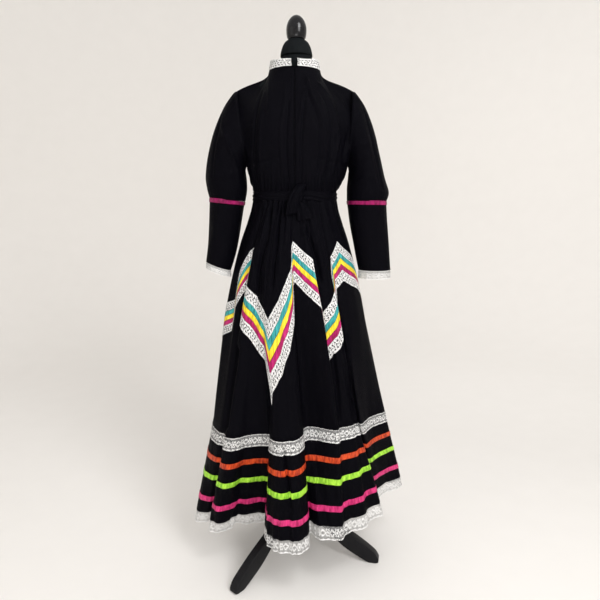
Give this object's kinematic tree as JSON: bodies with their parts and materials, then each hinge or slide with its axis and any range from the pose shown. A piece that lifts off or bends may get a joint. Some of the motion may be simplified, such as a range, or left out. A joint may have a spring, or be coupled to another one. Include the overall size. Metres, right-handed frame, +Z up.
{
  "type": "jalisco dress on dress form",
  "caption": "Long black folk dance dress with zigzag and level ribbons, white lace, puffed sleeves and tied belt, worn by a limbless dress form on a three-legged stand.",
  "frame": {"origin": "on the floor, at the middle of the whole seen from above", "axes": "+Z up; -Y is the side that the dress's back faces, with the zip and the tied belt; +X is to the right of someone who looks at that back"},
  "size_m": [0.704, 0.504, 1.682],
  "materials": {
    "black_cloth": "matt black cotton and polyester weave",
    "white_lace": "matt white lace",
    "teal_satin": "satin ribbon",
    "yellow_satin": "satin ribbon",
    "magenta_satin": "satin ribbon",
    "red_satin": "satin ribbon",
    "lime_satin": "satin ribbon",
    "pink_satin": "satin ribbon",
    "zip": "black nylon coil",
    "form_cover": "matt black jersey over foam",
    "finial": "gloss black",
    "pole": "satin black paint",
    "stand_wood": "satin black lacquer"
  },
  "bodies": {
    "root": {"skirt_back_left": "black_cloth", "flounce_back_left": "black_cloth", "skirt_back_right": "black_cloth", "flounce_back_right": "black_cloth", "skirt_front_right": "black_cloth", "flounce_front_right": "black_cloth", "skirt_front_left": "black_cloth", "flounce_front_left": "black_cloth", "zigzag_lace_upper": "white_lace", "zigzag_ribbon_teal": "teal_satin", "zigzag_ribbon_yellow": "yellow_satin", "zigzag_ribbon_magenta": "magenta_satin", "zigzag_lace_lower": "white_lace", "flounce_lace": "white_lace", "flounce_ribbon_red": "red_satin", "flounce_ribbon_lime": "lime_satin", "flounce_ribbon_pink": "pink_satin", "hem_lace_back_left": "white_lace", "hem_lace_back_right": "white_lace", "hem_lace_front_right": "white_lace", "hem_lace_front_left": "white_lace", "bodice_back_left": "black_cloth", "bodice_back_right": "black_cloth", "bodice_front": "black_cloth", "zip_chain": "zip", "collar_left": "black_cloth", "collar_lace_left": "white_lace", "collar_right": "black_cloth", "collar_lace_right": "white_lace", "sleeve_upper_right": "black_cloth", "sleeve_lower_right": "black_cloth", "sleeve_ribbon_right": "magenta_satin", "cuff_lace_right": "white_lace", "sleeve_upper_left": "black_cloth", "sleeve_lower_left": "black_cloth", "sleeve_ribbon_left": "magenta_satin", "cuff_lace_left": "white_lace", "belt": "black_cloth", "belt_knot": "black_cloth", "belt_end_left": "black_cloth", "belt_end_right": "black_cloth", "form_body": "form_cover", "neck_cap": "form_cover", "finial": "finial", "pole": "pole", "hub": "stand_wood", "leg_1": "stand_wood", "leg_2": "stand_wood", "leg_3": "stand_wood"}
  },
  "joints": []
}
